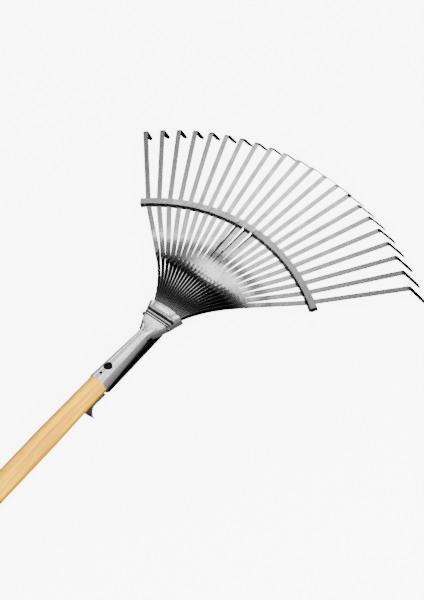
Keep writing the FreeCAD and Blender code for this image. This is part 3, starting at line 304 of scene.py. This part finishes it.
FINISHES = {
    "tine_steel": plated_steel("tine_steel", (0.38, 0.60), (0.20, 0.28), 900.0, polar=True),
    "socket_plate": plated_steel(
        "socket_plate", (0.52, 0.78), (0.22, 0.38), 500.0, metal=0.85
    ),
    "jaw_plate": plated_steel(
        "jaw_plate", (0.60, 0.92), (0.18, 0.28), 500.0, metal=0.9, grooves=JAW_GROOVES
    ),
    "bar_plate": plated_steel("bar_plate", (0.36, 0.60), (0.22, 0.34), 420.0),
    "guide_plate": plated_steel("guide_plate", (0.12, 0.24), (0.34, 0.55), 420.0),
    # The strut's near-black plating tones are painted shade, for it lies under the tines.
    "strut_wire": plated_steel("strut_wire", (0.05, 0.13), (0.30, 0.45), 420.0, polar=True),
    "lever_plate": plated_steel("lever_plate", (0.60, 0.85), (0.50, 0.65), 420.0),
    "pin_steel": plated_steel("pin_steel", (0.48, 0.72), (0.18, 0.32), 420.0),
    # The screw is near black: black oxide, and painted shade of its hole.
    "screw_steel": black_oxide_and_hole_shade("screw_steel"),
    "handle_wood": lacquered_wood("handle_wood"),
}

# The lower jaw gets a near-black copy of the jaw plating: painted shade, as it lies under the upper jaw.
SHADED_JAW = plated_steel("shaded_jaw_plate", (0.05, 0.14), (0.45, 0.60), 500.0, metal=0.4)

for part in frame["record"]["subparts"]:
    node = NODES[part["node"]]
    finish = FINISHES[part["material_slot"]]
    node.data.materials.clear()
    node.data.materials.append(SHADED_JAW if part["node"] == "lower_jaw" else finish)

# ---------------------------------------------------------------------------
# Studio
# ---------------------------------------------------------------------------
scene = bpy.context.scene

FLOOR_HALF = 30.0
FLOOR_GLOW = 6.0
PAPER_WHITE = (0.93, 0.93, 0.93)
PAPER_TOOTH = 0.985


def glowing_paper(name):
    """Matt paper with a faint tooth and a light behind it."""
    graph = Graph(name)
    place = graph.add("ShaderNodeTexCoord").outputs["Object"]
    low = tuple(channel * PAPER_TOOTH for channel in PAPER_WHITE)
    colour = graph.ramp(graph.noise(place, 40.0), [(0.3, low), (0.7, PAPER_WHITE)])
    graph.plug(colour, graph.shader.inputs["Base Color"])
    graph.set(Roughness=0.9, Specular_IOR_Level=0.0)
    graph.set(Emission_Color=(1.0, 1.0, 1.0, 1.0), Emission_Strength=FLOOR_GLOW)
    return graph.material


bpy.ops.mesh.primitive_plane_add(size=2 * FLOOR_HALF, location=(0, 0, 0))
floor = bpy.context.object
floor.name = "studio_floor"
floor.data.materials.append(glowing_paper("paper"))
# The paper is lit from behind for the camera only, as on a light table: the plated steel
# mirrors the dark room under it, not the paper.
floor.visible_glossy = False
floor.visible_diffuse = False


def soft_light(name, place, target, width, length, power):
    """A rectangular soft box that faces a target, its length along the rake."""
    data = bpy.data.lights.new(name, "AREA")
    data.shape = "RECTANGLE"
    data.size = width
    data.size_y = length
    data.energy = power
    light = bpy.data.objects.new(name, data)
    scene.collection.objects.link(light)
    back = (place - target).normalized()
    lengthwise = (ALONG - back * ALONG.dot(back)).normalized()
    crosswise = lengthwise.cross(back)
    light.matrix_world = facing(crosswise, lengthwise, back, place)
    return light


# The sky's grey from the horizon up.
SKY_STOPS = ((0.0, 0.008), (0.25, 0.03), (0.6, 0.08), (1.0, 0.16))


def dim_sky(name):
    """A dark room, a little lighter overhead."""
    world = bpy.data.worlds.new(name)
    world.use_nodes = True
    nodes = world.node_tree.nodes
    link = world.node_tree.links.new
    sky = nodes["Background"]
    sky.inputs["Strength"].default_value = 1.0
    height = nodes.new("ShaderNodeSeparateXYZ")
    shade = nodes.new("ShaderNodeValToRGB")
    link(nodes.new("ShaderNodeTexCoord").outputs["Generated"], height.inputs[0])
    link(height.outputs["Z"], shade.inputs["Fac"])
    link(shade.outputs["Color"], sky.inputs["Color"])
    elements = shade.color_ramp.elements
    while len(elements) < len(SKY_STOPS):
        elements.new(0.5)
    for element, (position, grey) in zip(elements, SKY_STOPS):
        element.position = position
        element.color = (grey, grey, grey, 1.0)
    return world


scene.world = dim_sky("studio")

FAN_MIDDLE = rake_point(0.0, 0.18, 0.0)
key = soft_light("key", rake_point(2.2, -1.6, 3.2), FAN_MIDDLE, 3.0, 3.0, 700.0)
key.visible_glossy = False
soft_light("far_card", rake_point(-0.98, 0.74, 1.63), FAN_MIDDLE, 0.24, 1.1, 3.6)
soft_light("side_card", rake_point(0.35, 0.62, 2.0), rake_point(0, 0, 0), 1.3, 0.8, 14.0)
soft_light("low_card", rake_point(1.5, 0.62, 1.3), rake_point(0, 0, 0), 0.7, 0.8, 7.0)
soft_light("left_card", rake_point(-1.80, 0.62, 0.85), rake_point(0, 0.05, 0), 0.6, 0.7, 6.5)
soft_light("front_card", rake_point(-0.90, 1.65, 1.05), rake_point(0, 0.02, 0), 0.5, 0.4, 4.0)
soft_light("rear_card", rake_point(-0.96, -0.70, 1.66), rake_point(0, -0.1, 0), 0.9, 0.7, 5.0)

# ---------------------------------------------------------------------------
# Camera
# ---------------------------------------------------------------------------
CAMERA_TURN = math.radians(56.23)
CAMERA_RISE = math.radians(54.77)
CAMERA_ROLL = math.radians(18.15)
CAMERA_DISTANCE = 2.3142
# The camera faces this point, given across and along the rake.
CAMERA_TARGET = (0.0363, 0.0693)
SENSOR = 36.0
LENS = 112.95

backward = rake_way(
    math.sin(CAMERA_TURN) * math.cos(CAMERA_RISE),
    -math.cos(CAMERA_TURN) * math.cos(CAMERA_RISE),
    math.sin(CAMERA_RISE),
)
level = rake_way(math.cos(CAMERA_TURN), math.sin(CAMERA_TURN), 0.0)
upward = backward.cross(level)
side = level * math.cos(CAMERA_ROLL) - upward * math.sin(CAMERA_ROLL)
top = backward.cross(side)

camera_data = bpy.data.cameras.new("camera")
camera_data.sensor_width = SENSOR
camera_data.sensor_fit = "AUTO"
camera_data.lens = LENS
camera_data.clip_start = 0.01
camera_data.clip_end = 50.0
camera = bpy.data.objects.new("camera", camera_data)
scene.collection.objects.link(camera)
camera_place = rake_point(*CAMERA_TARGET, 0.0) + backward * CAMERA_DISTANCE
camera.matrix_world = facing(side, top, backward, camera_place)
scene.camera = camera
